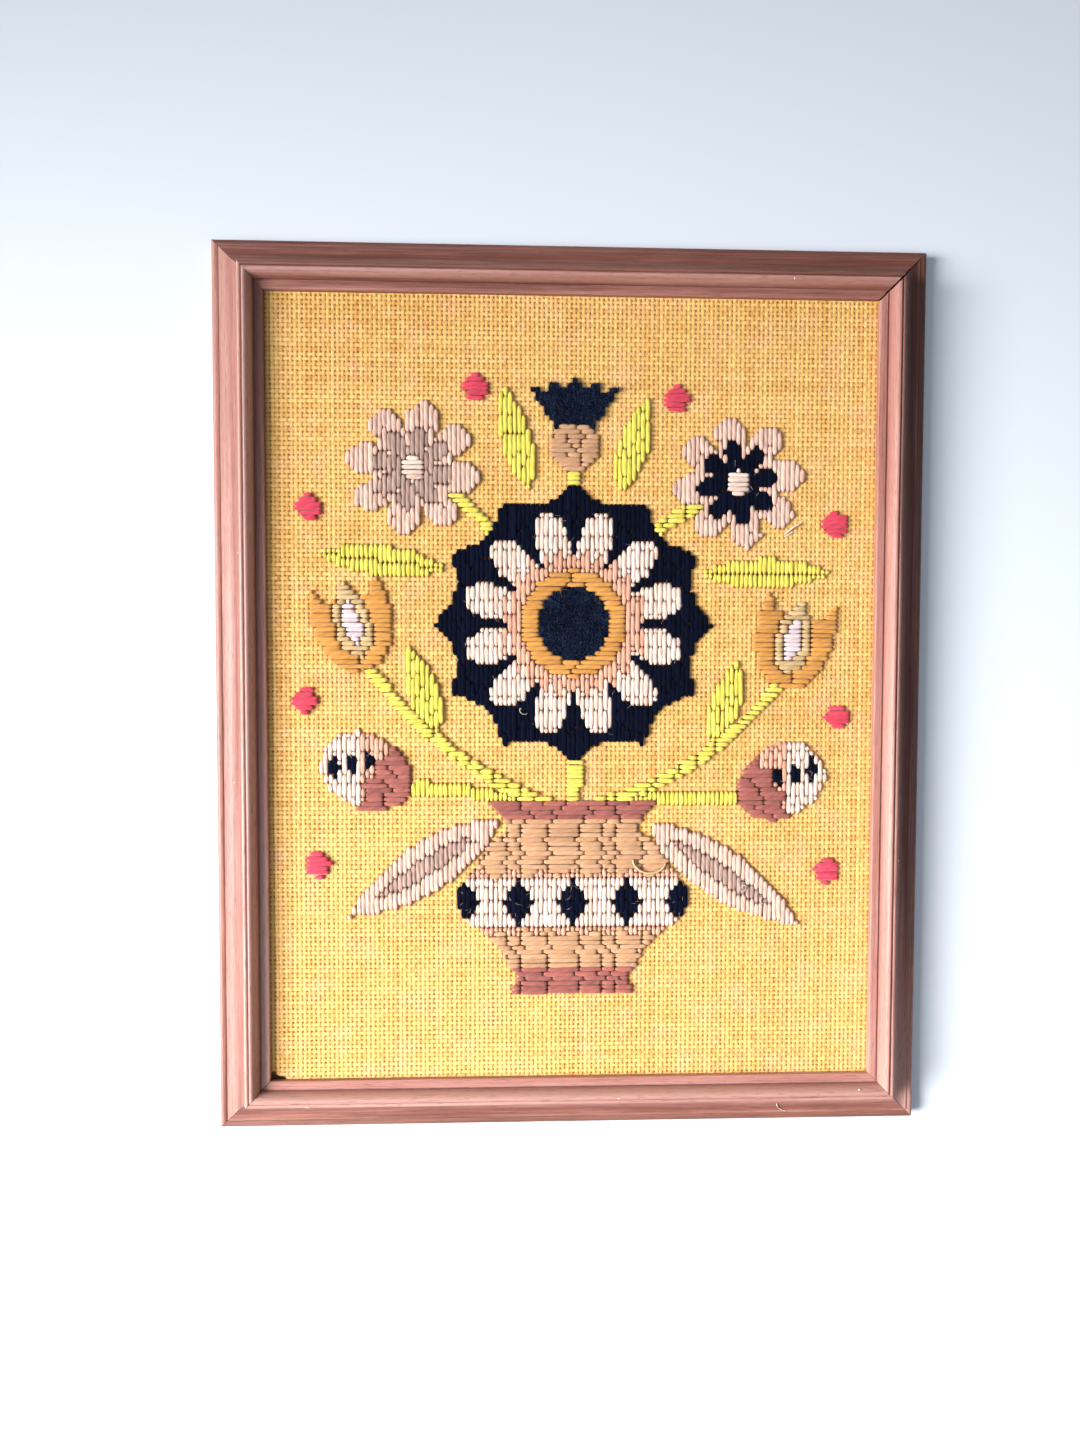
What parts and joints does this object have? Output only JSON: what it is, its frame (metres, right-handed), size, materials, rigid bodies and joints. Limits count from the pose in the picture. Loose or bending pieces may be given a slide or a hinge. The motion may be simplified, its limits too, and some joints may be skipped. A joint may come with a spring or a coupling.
{
  "type": "crewel embroidery panel in a wooden picture frame",
  "caption": "Crewel embroidery panel: a pot of flowers in raised wool on a stretched even-weave cloth, behind the lip of a mitred wooden picture frame, lying on its back.",
  "frame": {"origin": "on the frame's back plane, under the middle of the panel", "axes": "+Z out of the picture's face, +Y towards the picture's top, +X towards its right side"},
  "size_m": [0.3148, 0.3908, 0.022],
  "materials": {
    "moulding_wood": "oiled red-brown wood with a satin sheen and straight grain along each length",
    "ground_cloth": "mustard even-weave cloth, matt",
    "backing_board": "plain pressed fibre board, matt",
    "wool_navy": "navy-black wool, satin stitch and brushed pile",
    "wool_cream": "cream and peach wool in long and short stitches",
    "wool_camel": "camel wool in long stitches",
    "wool_rust": "rust-brown wool in long stitches",
    "wool_chartreuse": "chartreuse wool in long and stacked short stitches",
    "wool_taupe": "pale taupe wool in long stitches",
    "wool_mushroom": "mushroom-brown wool in long stitches",
    "wool_coral": "coral-red wool in short stitches",
    "wool_ochre": "ochre wool in long stitches",
    "wool_beige": "beige wool in long stitches",
    "wool_lilac": "pale lilac-white wool in long stitches"
  },
  "bodies": {
    "root": {"aster_left_eye": "wool_cream", "aster_left_heart": "wool_mushroom", "aster_left_petals": "wool_taupe", "aster_right_eye": "wool_cream", "aster_right_heart": "wool_mushroom", "aster_right_petals": "wool_taupe", "backing_board": "backing_board", "berry_1": "wool_coral", "berry_2": "wool_coral", "berry_3": "wool_coral", "berry_4": "wool_coral", "berry_5": "wool_coral", "berry_6": "wool_coral", "berry_7": "wool_coral", "berry_8": "wool_coral", "bud_left_cup": "wool_rust", "bud_left_seed": "wool_cream", "bud_right_cup": "wool_rust", "bud_right_seed": "wool_cream", "daisy_back": "wool_navy", "daisy_eye": "wool_navy", "daisy_petals": "wool_cream", "daisy_ring": "wool_ochre", "ground_cloth": "ground_cloth", "leaf_1": "wool_chartreuse", "leaf_2": "wool_chartreuse", "leaf_3": "wool_chartreuse", "leaf_4": "wool_chartreuse", "leaf_5": "wool_chartreuse", "leaf_6": "wool_chartreuse", "plume_left_heart": "wool_mushroom", "plume_left_vane": "wool_taupe", "plume_right_heart": "wool_mushroom", "plume_right_vane": "wool_taupe", "rail_bottom": "moulding_wood", "rail_top": "moulding_wood", "stem_aster_left": "wool_chartreuse", "stem_aster_right": "wool_chartreuse", "stem_bud_left": "wool_chartreuse", "stem_bud_right": "wool_chartreuse", "stem_daisy": "wool_chartreuse", "stem_thistle": "wool_chartreuse", "stem_tulip_left": "wool_chartreuse", "stem_tulip_right": "wool_chartreuse", "stile_left": "moulding_wood", "stile_right": "moulding_wood", "thistle_globe": "wool_camel", "thistle_tuft": "wool_navy", "tulip_left_cup": "wool_ochre", "tulip_left_heart": "wool_lilac", "tulip_left_petal": "wool_beige", "tulip_right_cup": "wool_ochre", "tulip_right_heart": "wool_lilac", "tulip_right_petal": "wool_beige", "vase_band": "wool_cream", "vase_belly": "wool_camel", "vase_foot": "wool_rust", "vase_rim": "wool_rust", "vase_shoulder": "wool_camel"}
  },
  "joints": []
}
